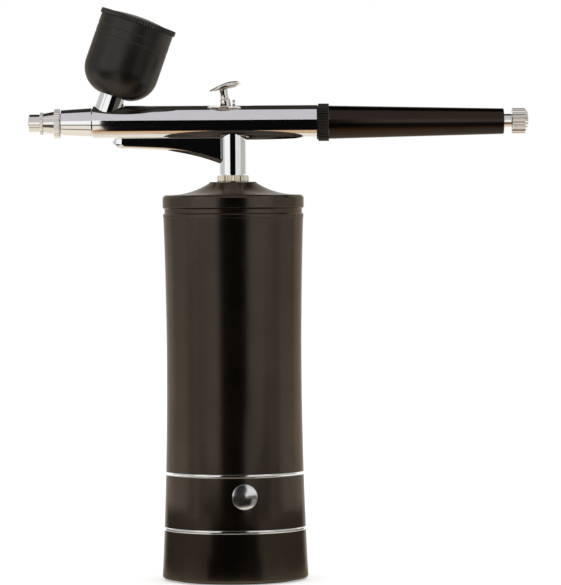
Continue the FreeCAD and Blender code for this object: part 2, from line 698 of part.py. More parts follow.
def make_outlet():
    """Hose from the pump to the outlet fitting, and the knurled ring round the fitting's mouth."""
    barb_low = ceiling - S.fitting_flange_height - S.barb_length
    hose_low = cover_top + 0.3
    hose_high = ceiling - S.fitting_flange_height - 0.4
    bore = S.nipple_radius
    hose = turned("outlet_hose", [
        (bore, hose_low), (bore + S.hose_wall, hose_low), (bore + S.hose_wall, hose_high), (bore, hose_high)])
    piece(hose)
    socket_radius = S.spigot_radius + S.swivel_fit
    socket_floor = spigot_bottom - 0.2
    fitting_top = cap_top - S.collar_height
    fitting = turned("outlet_fitting", [
        (bore / 2, barb_low), (bore, barb_low), (bore, ceiling - S.fitting_flange_height),
        (S.fitting_flange, ceiling - S.fitting_flange_height), (S.fitting_flange, ceiling),
        (S.fitting_radius, ceiling), (S.fitting_radius, fitting_top), (socket_radius, fitting_top),
        (socket_radius, socket_floor), (bore / 2, socket_floor)])
    piece(fitting)
    low = cap_top + S.lock_gap
    high = low + S.lock_height
    hole = S.spigot_radius + S.swivel_fit
    lock = turned("lock_ring", [
        (hole, low), (S.lock_radius - 0.2, low), (S.lock_radius, low + 0.2), (S.lock_radius, high - 0.2),
        (S.lock_radius - 0.2, high), (hole, high)])
    knurl(lock, S.lock_radius, low, S.lock_height, 26, 0.25)
    piece(lock)


def make_controls():
    """Power button, its switch and the control board, in the button's own turned frame."""
    face = -S.board_face
    board = body("control_board")
    sketch = rectangle(sketch_on(board, "XZ_Plane", S.board_face - S.board_thickness),
                       -S.board_width / 2, plate_top - 0.9, S.board_width / 2, S.board_top)
    pad(board, sketch, S.board_thickness)
    piece(put(board, axis=(0, 0, 1), angle=S.button_angle))
    switch = body("power_switch")
    half = S.switch_side / 2
    low = S.button_height - half
    pad(switch, rectangle(sketch_on(switch, "XZ_Plane", S.board_face), -half, low, half,
                          S.button_height + half), S.switch_body)
    stem = circles(sketch_on(switch, "XZ_Plane", S.board_face), [(0, S.button_height)], 1.7)
    pad(switch, stem, S.switch_body + S.switch_stem)
    piece(put(switch, axis=(0, 0, 1), angle=S.button_angle))
    inner = face - S.switch_body - S.switch_stem - S.button_travel - 0.1
    flange = inner - 0.8
    crown = -S.button_crown
    dome = (S.button_radius * S.button_radius + S.button_dome * S.button_dome) / (2 * S.button_dome)
    button = turned("power_button", [
        (inner, 0), (inner, S.button_flange), (flange, S.button_flange), (flange, S.button_radius),
        (crown + S.button_dome, S.button_radius), Bend(dome), (crown, 0)], axis="H_Axis", plane="YZ_Plane")
    piece(put(button, z=S.button_height, axis=(0, 0, 1), angle=S.button_angle))


def make_charging():
    """Charging board on its shelf, with the socket that looks out at the back."""
    board = body("charge_board")
    pad(board, rectangle(sketch_on(board, "XY_Plane", S.charge_board_height), -S.shelf_half_width,
                         S.shelf_near - 0.1, S.shelf_half_width, S.shelf_far), S.board_thickness)
    piece(board)
    half_width = S.socket_width / 2
    half_height = S.socket_height / 2
    low = S.charge_board_height + S.board_thickness
    middle = low + half_height
    front = waist(middle) - 1.4
    shell = body("charge_socket")
    for depth, wall in ((S.socket_length, 0), (S.socket_length - 1.0, 0.35)):
        wide = half_width - half_height
        tall = half_height - wall
        sketch = outline(sketch_on(shell, "XZ_Plane", -front), [
            (-wide, middle - tall), (wide, middle - tall), round_end(tall), (wide, middle + tall),
            (-wide, middle + tall), round_end(tall)])
        if wall:
            pocket(shell, sketch, depth, along=True)
        else:
            pad(shell, sketch, depth)
    tongue = rectangle(sketch_on(shell, "XZ_Plane", -front + S.socket_length - 0.5), -3.2, middle - 0.35,
                       3.2, middle + 0.35)
    pad(shell, tongue, S.socket_length - 1.5, back=True)
    piece(shell)


# Levels of the valve and of the airbrush above it, and points along the airbrush.
casing_low = cap_top + S.lock_gap + S.lock_height + S.valve_gap
brush_height = casing_low + S.casing_bottom
spigot_bottom = casing_low - S.spigot_length
seat = brush_height - S.valve_seat
pivot = brush_height - S.pivot_drop
plunger_bottom = brush_height - S.cup_floor + S.plunger_travel + 0.1
guide_front = S.lever_thickness
spring_front = S.rear_bore_start + 1 + 1.5
tube_form = put(cylinder("tube_form", S.tube_radius, 4 * OVER), x=-2 * OVER, z=brush_height,
                axis=(0, 1, 0), angle=90)


def along_brush(label, items):
    """Make a piece turned about the airbrush's own axis: points are (place, radius)."""
    made = turned(label, items, axis="H_Axis")
    put(made, z=brush_height)
    return made


def make_airbrush_body():
    """Chromed tube with its paint bore, trigger slot, cup bore and threaded rear stub."""
    stub_end = S.tube_rear + S.stub_length
    stub = S.rear_bore + S.stub_wall
    front = -S.tube_front
    tube = turned("airbrush_body", [
        (front, 4.05), (front, S.tube_radius), (S.tube_rear - 0.5, S.tube_radius),
        (S.tube_rear, S.tube_radius - 0.5), (S.tube_rear, stub), (stub_end, stub),
        (stub_end, S.rear_bore), (S.rear_bore_start, S.rear_bore),
        (S.rear_bore_start, S.guide_nose + 0.2), (S.rear_bore_start - 3, S.guide_nose + 0.2),
        (S.rear_bore_start - 3, S.paint_bore),
        (front + 1.2, S.paint_bore), (front + 1.2, 4.05)], axis="H_Axis")
    end = S.slot_width / 2
    slot = outline(sketch_on(tube, "XY_Plane", -S.slot_floor), [
        (end - S.slot_front, -end), (S.slot_rear - end, -end), round_end(end), (S.slot_rear - end, end),
        (end - S.slot_front, end), round_end(end)])
    pocket(tube, slot, OVER, along=True)
    well = circles(sketch_on(tube, "XY_Plane", 0), [(0, 0)], S.plunger_cup + 0.2)
    pocket(tube, well, OVER)
    feed = circles(sketch_on(tube, "XY_Plane", 0, tilt=S.cup_tilt, shift=-S.cup_place), [(0, 0)], 1.8)
    pocket(tube, feed, OVER, along=True)
    piece(put(tube, z=brush_height))


def make_head():
    """Spray head, fluid nozzle and the two screwed caps in front."""
    back = -S.tube_front
    front = -S.head_front
    spray = along_brush("spray_head", [
        (front, 3.4), (front, S.head_nose), (back - 0.5, S.head_rear), (back - 0.5, S.head_rear - 0.2),
        (back, S.head_rear - 0.2), (back, 4.0), (back + 1.1, 4.0), (back + 1.1, S.paint_bore),
        (front + 3.2, S.paint_bore), (front + 3.2, 3.4)])
    piece(spray)
    nozzle = along_brush("fluid_nozzle", [
        (front + 3.2, S.paint_bore), (front + 3.2, 3.35), (front + 1.2, 3.35), (front + 1.2, 1.9),
        (front - 1.3, 1.9), (front - 7.6, 0.85), (front - 7.6, 0.62), (front - 0.8, S.paint_bore)])
    piece(nozzle)
    tip = -S.nozzle_cap_front
    ring = front - 0.2
    ring_front = ring - S.nozzle_ring_width
    cap = along_brush("nozzle_cap", [
        (tip, 1.7), (tip, S.nozzle_cap_nose), (ring_front, S.nozzle_cap_nose + 0.7),
        (ring_front, S.nozzle_ring_radius), (ring, S.nozzle_ring_radius), (ring, 3.3),
        (ring + 1.2, 3.3), (ring + 1.2, 2.7), (tip + 1.8, 2.7), (tip + 0.7, 1.7)])
    knurl(cap, S.nozzle_ring_radius, ring_front, S.nozzle_ring_width, 34, 0.2, plane="YZ_Plane")
    piece(cap)
    nose = -S.needle_cap_front
    crown = tip - 1.1
    guard = along_brush("needle_cap", [
        (nose, 2.3), (nose, S.needle_cap_radius - 0.3), (nose + 0.3, S.needle_cap_radius),
        (crown, S.needle_cap_radius), (crown, S.needle_ring_radius), (tip, S.needle_ring_radius),
        (tip, 1.7), (crown - 0.2, 1.7), (crown - 1.2, 2.3)])
    knurl(guard, S.needle_ring_radius, crown, 1.1, 26, 0.2, plane="YZ_Plane")
    piece(guard)


def make_cup():
    """Cup stem, paint cup and lid, on the cup's own tilted axis."""
    lean = {"x": -S.cup_place, "z": brush_height, "axis": (0, 1, 0), "angle": S.cup_tilt}
    stem = turned("stem_blank", [
        (1.8, 0), (S.neck_radius, 0), (S.neck_radius, S.neck_height), (S.neck_bore, S.neck_height),
        (1.8, S.neck_height - 2.7)])
    piece(cut("cup_stem", put(stem, **lean), tube_form))
    centre = S.cup_radius - S.cup_bowl
    reach = S.neck_radius - centre
    side_low = S.neck_height + root(S.cup_bowl * S.cup_bowl - reach * reach)
    inner_bowl = S.cup_bowl - S.cup_wall
    inner_reach = S.neck_bore - centre
    inside_low = side_low - root(inner_bowl * inner_bowl - inner_reach * inner_reach)
    top = side_low + S.cup_side
    grooved = S.cup_radius - S.cup_groove_depth
    inner = S.cup_radius - S.cup_wall
    grooves = []
    for down in (6.6, 3.8):
        low = top - down
        grooves += [(S.cup_radius, low), (grooved, low + 0.15), (grooved, low + 0.25),
                    (S.cup_radius, low + 0.4)]
    cup = turned("paint_cup", [
        (S.neck_bore, S.neck_height), (S.neck_radius, S.neck_height), Bend(S.cup_bowl),
        (S.cup_radius, side_low), *grooves, (S.cup_radius, top), (inner, top), (inner, side_low),
        Bend(inner_bowl, right=True), (S.neck_bore, inside_low)])
    piece(put(cup, **lean))
    low = top + S.lid_gap
    rim_top = low + S.lid_rim
    dome = (S.lid_dome_radius * S.lid_dome_radius + S.lid_dome * S.lid_dome) / (2 * S.lid_dome)
    plug = inner - 0.3
    lid = turned("cup_lid", [
        (0, low + 0.5), (plug - 1.0, low + 0.5), (plug - 1.0, low - 2.6), (plug, low - 2.6),
        (plug, low), (S.lid_radius, low), (S.lid_radius, rim_top), (S.lid_dome_radius, rim_top),
        Bend(dome), (0, rim_top + S.lid_dome)])
    knurl(lid, S.lid_radius, low, S.lid_rim, 80, 0.25)
    piece(put(lid, **lean))


def make_valve():
    """Air valve under the tube: casing, seal, plunger, spring and screw."""
    tube_bottom = brush_height - S.tube_radius
    groove = spigot_bottom + 2.3
    groove_floor = S.spigot_radius - 2 * S.seal_section - 0.05
    well = S.plunger_cup + 0.2
    casing = turned("casing_blank", [
        (S.casing_bore, spigot_bottom), (S.spigot_radius, spigot_bottom), (S.spigot_radius, groove),
        (groove_floor, groove), (groove_floor, groove + 1.2), (S.spigot_radius, groove + 1.2),
        (S.spigot_radius, casing_low), (S.casing_radius, casing_low), (S.casing_radius, tube_bottom + 3),
        (well, tube_bottom + 3), (well, brush_height - S.cup_floor), (1.3, brush_height - S.cup_floor),
        (1.3, seat), (S.casing_bore, seat)])
    piece(cut("valve_casing", casing, tube_form))
    piece(put(ring_seal("outlet_seal", S.spigot_radius - S.seal_section - 0.02, S.seal_section),
              z=groove + 0.6))
    screw_low = spigot_bottom + 0.3
    screw_top = screw_low + 2.5
    screw = turned("valve_screw", [
        (0.9, screw_low), (S.casing_bore - 0.02, screw_low), (S.casing_bore - 0.02, screw_top),
        (0.9, screw_top)])
    piece(screw)
    head_top = seat - 0.7
    head_low = head_top - 1.7
    ball = S.ball_radius + S.shaft_fit
    cup_top = pivot + 0.7
    plunger = turned("valve_plunger", [
        (0, head_low), (2.0, head_low), (2.0, head_top), (1.2, head_top), (1.2, plunger_bottom),
        (S.plunger_cup, plunger_bottom), (S.plunger_cup, cup_top), (root(ball * ball - 0.49), cup_top),
        Bend(ball, right=True), (0, pivot - ball)])
    piece(plunger)
    washer = turned("plunger_seal", [
        (1.2, head_top), (2.1, head_top), (2.1, seat - 0.1), (1.2, seat - 0.1)])
    piece(washer)
    spring_low = screw_top + 0.05
    piece(helix("valve_spring", 1.75, 0.25, spring_low, head_low - spring_low - 0.05, 6))


def make_trigger():
    """Double-action trigger: ball foot, leg, fork over the needle, collar, neck and finger pad."""
    collar_top = S.pad_height - 3.3
    fork_low = 5.6
    fork_top = collar_top - 2.3
    half = S.fork_thickness / 2
    lever = turned("trigger", [
        (0, -S.ball_radius), Bend(S.ball_radius), (root(S.ball_radius * S.ball_radius - 0.75), 0.866),
        (0.5, 1.25), (S.leg_radius, 1.6), (S.leg_radius, fork_low + 0.3), (0, fork_low + 0.3)])
    sketch = rectangle(sketch_on(lever, "XY_Plane", fork_low), -half, -S.fork_width / 2, half,
                       S.fork_width / 2)
    pad(lever, sketch, fork_top - fork_low + 0.3)
    end = S.fork_width / 2
    collar = outline(sketch_on(lever, "XY_Plane", fork_top), [
        (-0.2, -end), (0.2, -end), round_end(end), (0.2, end), (-0.2, end), round_end(end)])
    pad(lever, collar, collar_top - fork_top)
    neck = circles(sketch_on(lever, "XY_Plane", collar_top - 0.2), [(0, 0)], S.trigger_neck)
    pad(lever, neck, 3.6)
    plan = circles(sketch_on(lever, "XY_Plane", S.pad_height), [(S.pad_offset, 0)], S.pad_radius)
    pad(lever, plan, S.pad_thickness)
    high = S.pad_height + S.pad_thickness
    front = S.pad_offset - S.pad_radius - 0.5
    wedge = outline(sketch_on(lever, "XZ_Plane"), [
        (front, S.pad_height + 0.9), (1.6, high + 0.01), (1.6, high + 1), (front, high + 1)])
    pocket(lever, wedge, OVER, both=True)
    slot = rectangle(sketch_on(lever, "YZ_Plane"), -0.75, 6.3, 0.75, 10.9)
    pocket(lever, slot, OVER, both=True)
    piece(put(lever, z=pivot, axis=(0, -1, 0), angle=S.trigger_lean))


def make_needle():
    """Needle with its packing, chuck guide, chuck nut, back lever, spring and spring case."""
    hole = S.needle_radius + S.needle_fit
    needle = along_brush("needle", [
        (-S.needle_tip, 0), (6.9 - S.needle_tip, S.needle_radius), (S.needle_end, S.needle_radius),
        (S.needle_end, 0)])
    piece(needle)
    packing = along_brush("needle_packing", [
        (-12, hole), (-12, S.paint_bore), (-9.5, S.paint_bore), (-9.5, hole)])
    piece(packing)
    flange = S.rear_bore_start + 1
    guide = along_brush("chuck_guide", [
        (guide_front, hole), (guide_front, S.guide_nose), (flange, S.guide_nose), (flange, S.guide_flange),
        (flange + 1.5, S.guide_flange), (flange + 1.5, S.guide_radius), (S.guide_end, S.guide_radius),
        (S.guide_end, hole)])
    piece(guide)
    nut = along_brush("chuck_nut", [
        (S.guide_end - 2, S.guide_radius), (S.guide_end - 2, S.nut_radius - 0.3),
        (S.guide_end - 1.7, S.nut_radius), (S.nut_end - 0.3, S.nut_radius),
        (S.nut_end, S.nut_radius - 0.3), (S.nut_end, hole), (S.guide_end, hole),
        (S.guide_end, S.guide_radius)])
    piece(nut)
    lever = body("back_lever")
    half = S.lever_width / 2
    plate = outline(sketch_on(lever, "YZ_Plane"), [
        (-half, -1.5), (half, -1.5), (half, S.lever_top - half), round_end(half), (-half, S.lever_top - half)])
    pad(lever, circles(plate, [(0, 0)], hole), S.lever_thickness)
    piece(put(lever, z=brush_height))
    case = along_brush("spring_case", [
        (S.rear_bore_start, S.case_radius - S.case_wall), (S.rear_bore_start, S.case_radius),
        (S.case_end, S.case_radius), (S.case_end, S.guide_radius + 0.1),
        (S.case_end - 1.5, S.guide_radius + 0.1), (S.case_end - 1.5, S.case_radius - S.case_wall)])
    piece(case)
    length = S.case_end - 1.5 - spring_front - 0.2
    coil = helix("needle_spring", (S.guide_radius + S.case_radius - S.case_wall) / 2, S.spring_wire,
                 spring_front + 0.1, length, 9)
    piece(put(coil, z=brush_height, axis=(0, 1, 0), angle=90))


def make_handle():
    """Knurled collar, tapered handle and the needle stop with its seal."""
    start = S.tube_rear + S.collar_width + S.handle_gap
    bore = S.rear_bore + S.stub_wall + S.shaft_fit
    stub_end = S.tube_rear + S.stub_length + 0.5
    collar = along_brush("handle_collar", [
        (S.tube_rear, bore), (S.tube_rear, S.collar_outer), (S.tube_rear + S.collar_width, S.collar_outer),
        (S.tube_rear + S.collar_width, bore)])
    knurl(collar, S.collar_outer, S.tube_rear, S.collar_width, 39, 0.3, plane="YZ_Plane")
    piece(collar)
    case_bore = S.case_radius + 0.3
    thread = S.stop_radius + S.shaft_fit
    handle = along_brush("handle", [
        (start, bore), (start, S.handle_front - 0.2), (start + 0.3, S.handle_front),
        (S.handle_end - 0.8, S.handle_rear), (S.handle_end, S.handle_rear - 0.4), (S.handle_end, thread),
        (S.stop_seat, thread), (S.stop_seat, 1.5), (S.handle_bore_end, 1.5),
        (S.handle_bore_end, S.handle_bore), (S.case_end + 2.5, S.handle_bore),
        (S.case_end + 2.5, case_bore), (stub_end, case_bore), (stub_end, bore)])
    piece(handle)
    groove = S.stop_seat + 4
    knob = along_brush("stop_knob", [
        (S.stop_tip, 0), (S.stop_tip, 1.2), (S.stop_seat + 2.5, 1.2), (S.stop_seat + 2.5, S.stop_radius),
        (groove, S.stop_radius), (groove, S.stop_radius - 0.6), (groove + 1, S.stop_radius - 0.6),
        (groove + 1, S.stop_radius), (S.knob_start, S.stop_radius), (S.knob_start, S.knob_radius - 0.3),
        (S.knob_start + 0.3, S.knob_radius), (S.knob_end - 1.0, S.knob_radius),
        (S.knob_end, S.knob_radius - 0.9), (S.knob_end, 0)])
    knurl(knob, S.knob_radius, S.knob_start, S.knob_end - S.knob_start, 20, 0.35, plane="YZ_Plane")
    piece(knob)
    seal = ring_seal("stop_seal", S.stop_radius - 0.28, 0.29)
    piece(put(seal, x=groove + 0.5, z=brush_height, axis=(0, 1, 0), angle=90))


def make_finger_brace():
    """Fin under the tube, from its rounded nose to the valve, that the finger rests against."""
    nose = -S.brace_nose
    low = brush_height - S.brace_drop
    foot = low - 4.8
    top = brush_height - 3
    blank = body("brace_blank")
    pad(blank, outline(sketch_on(blank, "XZ_Plane"), [
        (nose, low + 0.7), (-24, low), Bend(S.brace_curve, right=True), (-3, foot), (-3, top),
        (nose, top)]), 2 * S.brace_half_width, both=True)
    doc.recompute()
    width = 2 * S.brace_half_width.value
    corners = [edge for edge in blank.Shape.Edges
               if edge.BoundBox.XMax < nose.value + 0.01 and edge.BoundBox.ZLength > 1]
    soften(blank, corners, S.brace_half_width - 0.1)
    lower = [edge for edge in blank.Shape.Edges
             if edge.BoundBox.ZMax < low.value + 0.8 and edge.BoundBox.XLength > 1
             and edge.BoundBox.YLength < width / 2 and edge.BoundBox.YMax ** 2 > width]
    soften(blank, lower, 1.2)
    casing_form = put(cylinder("casing_form", S.casing_radius, OVER), z=casing_low)
    piece(cut("finger_brace", cut("brace_trimmed", blank, tube_form), casing_form))


def check_model():
    """Stop if any object failed or any sub-part is not a good solid."""
    doc.recompute()
    for item in doc.Objects:
        if {"Invalid", "Error"} & set(item.State):
            raise RuntimeError(f"{item.Label} failed: {item.State}")
    for item in PIECES:
        if item.Shape.isNull() or not item.Shape.isValid() or not item.Shape.Solids:
            raise RuntimeError(f"{item.Label} is not a valid solid")


make_foot_pad()
make_base_cup()
make_trim_ring("lower_trim_ring", S.base_top)
make_button_band()
make_trim_ring("upper_trim_ring", band_top)
piece(make_shell("main_sleeve", sleeve_bottom, sleeve_top))
make_top_cap()
make_tie_screws()
make_spacer_tubes()
make_battery_plate()
make_motor_plate()
make_battery_cell()
make_motor()
make_pump()
make_outlet()
make_controls()
make_charging()
make_airbrush_body()
make_head()
make_cup()
make_valve()
make_trigger()
make_needle()
make_handle()
make_finger_brace()
check_model()
os.makedirs("parts", exist_ok=True)
for item in PIECES:
    item.Shape.exportStep(os.path.join("parts", f"{item.Label}.step"))
    print(f"{item.Label}: {len(item.Shape.Solids)} solid(s), {item.Shape.Volume:.1f} mm3")
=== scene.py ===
"""Airbrush compressor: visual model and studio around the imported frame.

Outlines and the sizes of pieces are in millimetres; everything else is in metres.
"""
import json
import math

import bpy
from mathutils import Matrix, Vector


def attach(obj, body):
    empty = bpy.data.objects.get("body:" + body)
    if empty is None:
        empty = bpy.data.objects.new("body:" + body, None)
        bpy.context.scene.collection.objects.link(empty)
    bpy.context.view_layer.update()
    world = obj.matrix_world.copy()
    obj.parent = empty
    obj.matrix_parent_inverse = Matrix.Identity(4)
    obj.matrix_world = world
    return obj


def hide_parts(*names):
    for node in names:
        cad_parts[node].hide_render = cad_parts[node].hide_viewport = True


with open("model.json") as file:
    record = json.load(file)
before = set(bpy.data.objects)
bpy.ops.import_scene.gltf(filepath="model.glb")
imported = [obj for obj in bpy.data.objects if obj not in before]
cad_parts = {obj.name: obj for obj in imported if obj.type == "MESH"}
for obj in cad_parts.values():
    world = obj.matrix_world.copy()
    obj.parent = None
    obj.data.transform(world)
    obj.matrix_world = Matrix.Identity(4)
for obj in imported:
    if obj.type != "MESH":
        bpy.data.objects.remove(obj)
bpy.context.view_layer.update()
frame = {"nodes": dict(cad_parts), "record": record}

NODES = frame["nodes"]
MM = 0.001
STEPS = 192
WEAR_RADIUS = 0.0004


# ---------------------------------------------------------------- node helpers

class Shader:
    """A material's node tree with a Principled shader."""

    def __init__(self, name, **settings):
        self.material = bpy.data.materials.new(name)
        self.material.use_nodes = True
        self.tree = self.material.node_tree
        self.nodes = self.tree.nodes
        self.base = self.nodes["Principled BSDF"]
        for key, value in settings.items():
            self.base.inputs[key.replace("_", " ")].default_value = value

    def add(self, kind, **inputs):
        node = self.nodes.new(kind)
        for key, value in inputs.items():
            self.feed(node, key.replace("_", " "), value)
        return node

    def feed(self, node, key, value):
        if isinstance(value, bpy.types.NodeSocket):
            self.tree.links.new(value, node.inputs[key])
        else:
            node.inputs[key].default_value = value

    def place(self, stretch=(1, 1, 1)):
        """Object coordinates, stretched along each axis."""
        source = self.add("ShaderNodeTexCoord")
        mapping = self.add("ShaderNodeMapping", Vector=source.outputs["Object"])
        mapping.inputs["Scale"].default_value = stretch
        return mapping.outputs["Vector"]

    def noise(self, scale, stretch=(1, 1, 1), detail=4.0):
        node = self.add("ShaderNodeTexNoise", Vector=self.place(stretch), Scale=scale, Detail=detail,
                        Roughness=0.6)
        return node.outputs["Fac"]

    def span(self, value, low, high, start=0.3, end=0.7):
        """Map a 0 to 1 value to a range."""
        node = self.add("ShaderNodeMapRange", Value=value)
        node.inputs["From Min"].default_value = start
        node.inputs["From Max"].default_value = end
        node.inputs["To Min"].default_value = low
        node.inputs["To Max"].default_value = high
        return node.outputs["Result"]

    def blend(self, value, first, second):
        node = self.add("ShaderNodeMix")
        node.data_type = "RGBA"
        self.feed(node, "Factor", value)
        node.inputs[6].default_value = (*first, 1)
        node.inputs[7].default_value = (*second, 1)
        return node.outputs[2]

    def colour(self, first, second, value):
        self.tree.links.new(self.blend(value, first, second), self.base.inputs["Base Color"])

    def roughness(self, low, high, value):
        self.tree.links.new(self.span(value, low, high), self.base.inputs["Roughness"])

    def bump(self, value, height, strength):
        node = self.add("ShaderNodeBump", Height=value)
        node.inputs["Distance"].default_value = height
        node.inputs["Strength"].default_value = strength
        if self.base.inputs["Normal"].is_linked:
            self.tree.links.new(self.base.inputs["Normal"].links[0].from_socket, node.inputs["Normal"])
        self.tree.links.new(node.outputs["Normal"], self.base.inputs["Normal"])

    def worn_edge(self, bare, amount):
        """Let bare metal show faintly where an edge is rubbed."""
        bevel = self.add("ShaderNodeBevel", Radius=WEAR_RADIUS)
        geometry = self.add("ShaderNodeNewGeometry")
        dot = self.add("ShaderNodeVectorMath")
        dot.operation = "DOT_PRODUCT"
        self.tree.links.new(bevel.outputs["Normal"], dot.inputs[0])
        self.tree.links.new(geometry.outputs["Normal"], dot.inputs[1])
        edge = self.span(dot.outputs["Value"], amount, 0.0, 0.90, 0.995)
        mixed = self.add("ShaderNodeMix")
        mixed.data_type = "RGBA"
        self.tree.links.new(edge, mixed.inputs["Factor"])
        self.tree.links.new(self.base.inputs["Base Color"].links[0].from_socket, mixed.inputs[6])
        mixed.inputs[7].default_value = (*bare, 1)
        self.tree.links.new(mixed.outputs[2], self.base.inputs["Base Color"])


def anodised(name, tone, rough):
    """Satin black anodised aluminium: fine blasted grain, soft blotches and lightly rubbed edges."""
    spread, grain, rubbed = 0.12, 5200.0, (0.20, 0.185, 0.17)
    shader = Shader(name, Metallic=1.0, Specular_Tint=(0.62, 0.58, 0.54, 1))
    dark, light = (tuple(part * (1 + way * spread) for part in tone) for way in (-1, 1))
    shader.colour(dark, light, shader.span(shader.noise(45.0, detail=5.0), 0.0, 1.0))
    shader.roughness(rough - 0.02, rough + 0.03, shader.noise(160.0))
    shader.bump(shader.noise(grain, detail=2.0), 0.000012, 0.30)
    shader.worn_edge(rubbed, 0.35)
    return shader.material


def plated(name, tint, rough, stretch=(1, 1, 1)):
    """Polished plating with faint polishing lines and a little haze."""
    shader = Shader(name, Metallic=1.0)
    haze = shader.noise(70.0, detail=4.0)
    darker = tuple(part * 0.93 for part in tint)
    shader.colour(darker, tint, shader.span(haze, 0.0, 1.0))
    shader.roughness(rough * 0.75, rough * 1.5, shader.noise(220.0, stretch))
    shader.bump(shader.noise(900.0, stretch, detail=3.0), 0.000004, 0.10)
    return shader.material


def turned_metal(name, tint, rough, stretch=(1, 1, 20)):
    """Bare machined metal with fine tool marks."""
    shader = Shader(name, Metallic=1.0)
    darker = tuple(part * 0.8 for part in tint)
    shader.colour(darker, tint, shader.noise(400.0, stretch))
    shader.roughness(rough * 0.8, rough * 1.3, shader.noise(700.0, stretch))
    shader.bump(shader.noise(1600.0, stretch), 0.00001, 0.4)
    return shader.material


def moulded(name, tint, rough, grain=1800.0, coat=0.0):
    """Moulded plastic or rubber with a fine tooled texture."""
    shader = Shader(name, Coat_Weight=coat)
    darker = tuple(part * 0.78 for part in tint)
    shader.colour(darker, tint, shader.noise(120.0))
    shader.roughness(rough - 0.05, rough + 0.08, shader.noise(260.0))
    shader.bump(shader.noise(grain, detail=3.0), 0.00002, 0.5)
    return shader.material


BLACK = {
    "black_casing": anodised("casing_black", (0.081, 0.066, 0.051), 0.24),
    "cup_black": anodised("cup_black", (0.054, 0.050, 0.046), 0.36),
    "lid_black": anodised("lid_black", (0.060, 0.056, 0.052), 0.34),
    "handle_black": anodised("handle_black", (0.040, 0.030, 0.024), 0.20),
    "collar_black": anodised("collar_black", (0.045, 0.040, 0.036), 0.28),
}
METAL = {
    "bright_trim": plated("trim_chrome", (0.93, 0.92, 0.90), 0.10, (1, 1, 12)),
    "button_metal": plated("button_chrome", (0.86, 0.86, 0.87), 0.16),
    "brush_chrome": plated("brush_chrome", (0.93, 0.925, 0.92), 0.035, (0.05, 1, 1)),
    "knurl_chrome": plated("knurl_chrome", (0.88, 0.85, 0.80), 0.09),
    "lock_nickel": plated("lock_nickel", (0.88, 0.79, 0.62), 0.12),
    "trigger_chrome": plated("trigger_chrome", (0.84, 0.80, 0.74), 0.07),
    "screw_steel": turned_metal("screw_steel", (0.55, 0.55, 0.56), 0.35),
    "motor_steel": turned_metal("motor_steel", (0.60, 0.60, 0.61), 0.30),
    "armature_copper": turned_metal("armature_copper", (0.75, 0.38, 0.20), 0.40),
    "fitting_brass": turned_metal("fitting_brass", (0.82, 0.62, 0.28), 0.25),
    "valve_brass": turned_metal("valve_brass", (0.80, 0.62, 0.30), 0.25),
    "needle_steel": turned_metal("needle_steel", (0.75, 0.75, 0.76), 0.12, (0.05, 1, 1)),
    "chuck_brass": turned_metal("chuck_brass", (0.78, 0.60, 0.32), 0.25, (20, 1, 1)),
    "socket_steel": turned_metal("socket_steel", (0.66, 0.66, 0.66), 0.28, (1, 1, 1)),
}
MOULDED = {
    "foot_rubber": moulded("foot_rubber", (0.020, 0.019, 0.018), 0.72),
    "chassis_plastic": moulded("chassis_plastic", (0.05, 0.05, 0.055), 0.55),
    "cell_wrap": moulded("cell_wrap", (0.06, 0.22, 0.50), 0.30, 600.0, 0.3),
    "magnet_ferrite": moulded("magnet_ferrite", (0.06, 0.06, 0.06), 0.65),
    "pump_plastic": moulded("pump_plastic", (0.70, 0.69, 0.65), 0.50),
    "pump_rubber": moulded("pump_rubber", (0.03, 0.03, 0.03), 0.70),
    "hose_silicone": moulded("hose_silicone", (0.75, 0.75, 0.72), 0.35),
    "board_green": moulded("board_green", (0.02, 0.14, 0.05), 0.35, 900.0, 0.2),
    "switch_body": moulded("switch_body", (0.03, 0.03, 0.03), 0.35),
    "seal_rubber": moulded("seal_rubber", (0.02, 0.02, 0.02), 0.60),
    "packing_ptfe": moulded("packing_ptfe", (0.85, 0.85, 0.83), 0.45),
}
FINISH = {**BLACK, **METAL, **MOULDED}


def dress(obj, material):
    """Give an object one material."""
    obj.data.materials.clear()
    obj.data.materials.append(material)


for part in frame["record"]["subparts"]:
    dress(NODES[part["node"]], FINISH[part["material_slot"]])


# ---------------------------------------------------------------- turned pieces

def arc(start, end, radius, right=False, count=14):
    """Points after start along an arc to end, to the left of the way travelled unless right."""
    (x0, y0), (x1, y1) = start, end
    chord = math.hypot(x1 - x0, y1 - y0)
    rise = math.sqrt(max(radius * radius - chord * chord / 4, 0))
    side = -1 if right else 1
    cx = (x0 + x1) / 2 - side * rise * (y1 - y0) / chord
    cy = (y0 + y1) / 2 + side * rise * (x1 - x0) / chord
    first = math.atan2(y0 - cy, x0 - cx)
    turn = math.atan2(y1 - cy, x1 - cx) - first
    turn = (turn + math.pi) % (2 * math.pi) - math.pi
    return [(cx + radius * math.cos(first + turn * step / count),
             cy + radius * math.sin(first + turn * step / count)) for step in range(1, count + 1)]


def eased(points, radius):
    """Round each sharp corner of a closed outline with a small arc."""
    sharp, count = math.radians(12), 4
    result = []
    for place, corner in enumerate(points):
        before, after = Vector(points[place - 1]), Vector(points[(place + 1) % len(points)])
        here = Vector(corner)
        towards, away = before - here, after - here
        reach = min(towards.length, away.length) * 0.45
        turn = math.pi - towards.angle(away, math.pi)
        if turn < sharp or here.x < 1e-6 or reach < 1e-6:
            result.append(tuple(here))
            continue
        cut = min(radius * math.tan(turn / 2), reach)
        start = here + towards.normalized() * cut
        end = here + away.normalized() * cut
        for step in range(count + 1):
            share = step / count
            result.append(tuple(start.lerp(here, share).lerp(here.lerp(end, share), share)))
    return result


